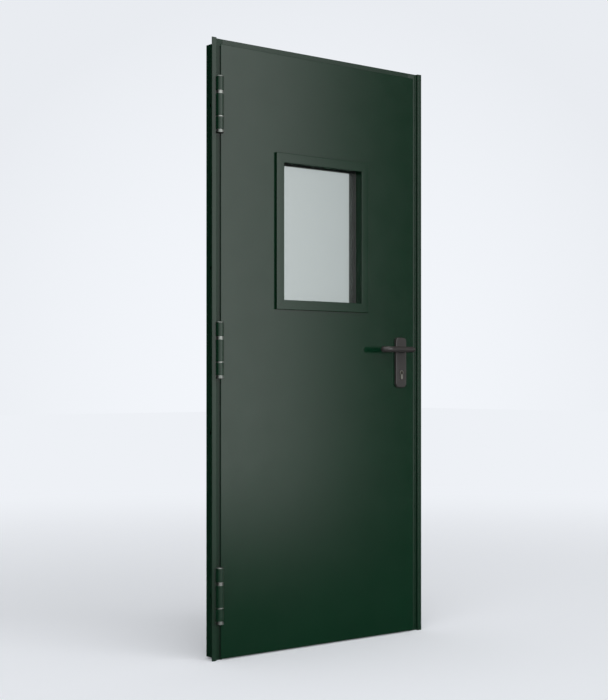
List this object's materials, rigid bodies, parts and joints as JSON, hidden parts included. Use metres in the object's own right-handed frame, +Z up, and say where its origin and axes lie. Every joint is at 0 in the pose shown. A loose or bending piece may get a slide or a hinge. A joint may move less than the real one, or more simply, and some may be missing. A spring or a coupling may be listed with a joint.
{
  "type": "fire-rated door",
  "caption": "Single-leaf steel fire-rated door in a folded steel frame, with a glazed vision panel, barrel hinges, and a return lever on a long backplate over a profile cylinder.",
  "frame": {"origin": "lower corner of the hinge jamb's lip, on its back face where it meets the wall's face and the edge of the wall opening", "axes": "+X from the hinge jamb to the lock jamb, +Y through the wall away from the hinge face, +Z up"},
  "size_m": [0.969, 0.212, 2.1],
  "materials": {
    "green_paint": "satin powder coat",
    "black_seal": "matt",
    "fire_glass": "clear",
    "mineral_core": "fibrous",
    "black_handle": "satin charcoal coat",
    "nickel_cylinder": "satin nickel plate",
    "plain_steel": "zinc plated",
    "hinge_steel": "bright turned"
  },
  "bodies": {
    "frame": {"hinge_jamb": "green_paint", "lock_jamb": "green_paint", "head": "green_paint", "frame_seal": "black_seal", "strike_plate": "plain_steel", "top_hinge_frame_knuckle": "green_paint", "top_hinge_pin": "hinge_steel", "top_hinge_bearing": "hinge_steel", "middle_hinge_frame_knuckle": "green_paint", "middle_hinge_pin": "hinge_steel", "middle_hinge_bearing": "hinge_steel", "bottom_hinge_frame_knuckle": "green_paint", "bottom_hinge_pin": "hinge_steel", "bottom_hinge_bearing": "hinge_steel"},
    "leaf": {"leaf_front_sheet": "green_paint", "leaf_back_tray": "green_paint", "leaf_core": "mineral_core", "front_bead_frame": "green_paint", "back_bead_frame": "green_paint", "glass_pane": "fire_glass", "front_glazing_tape": "black_seal", "back_glazing_tape": "black_seal", "front_backplate": "black_handle", "back_backplate": "black_handle", "lock_cylinder": "nickel_cylinder", "lock_forend": "plain_steel", "latch_bolt": "plain_steel", "dead_bolt": "plain_steel", "top_hinge_leaf_knuckles": "green_paint", "middle_hinge_leaf_knuckles": "green_paint", "bottom_hinge_leaf_knuckles": "green_paint"},
    "lever": {"front_lever": "black_handle", "back_lever": "black_handle", "spindle": "plain_steel"}
  },
  "joints": [
    {"name": "leaf_swing", "type": "hinge", "parent": "frame", "child": "leaf", "pos_m": [0.0035, -0.019, 0], "axis": [0, 0, -1], "range_deg": [0, 110]},
    {"name": "lever_turn", "type": "hinge", "parent": "leaf", "child": "lever", "pos_m": [0.8395, 0.027, 1.058], "axis": [0, -1, 0], "range_deg": [0, 40], "stiffness_Nm_per_rad": 1.2, "springref_deg": -51.57}
  ]
}
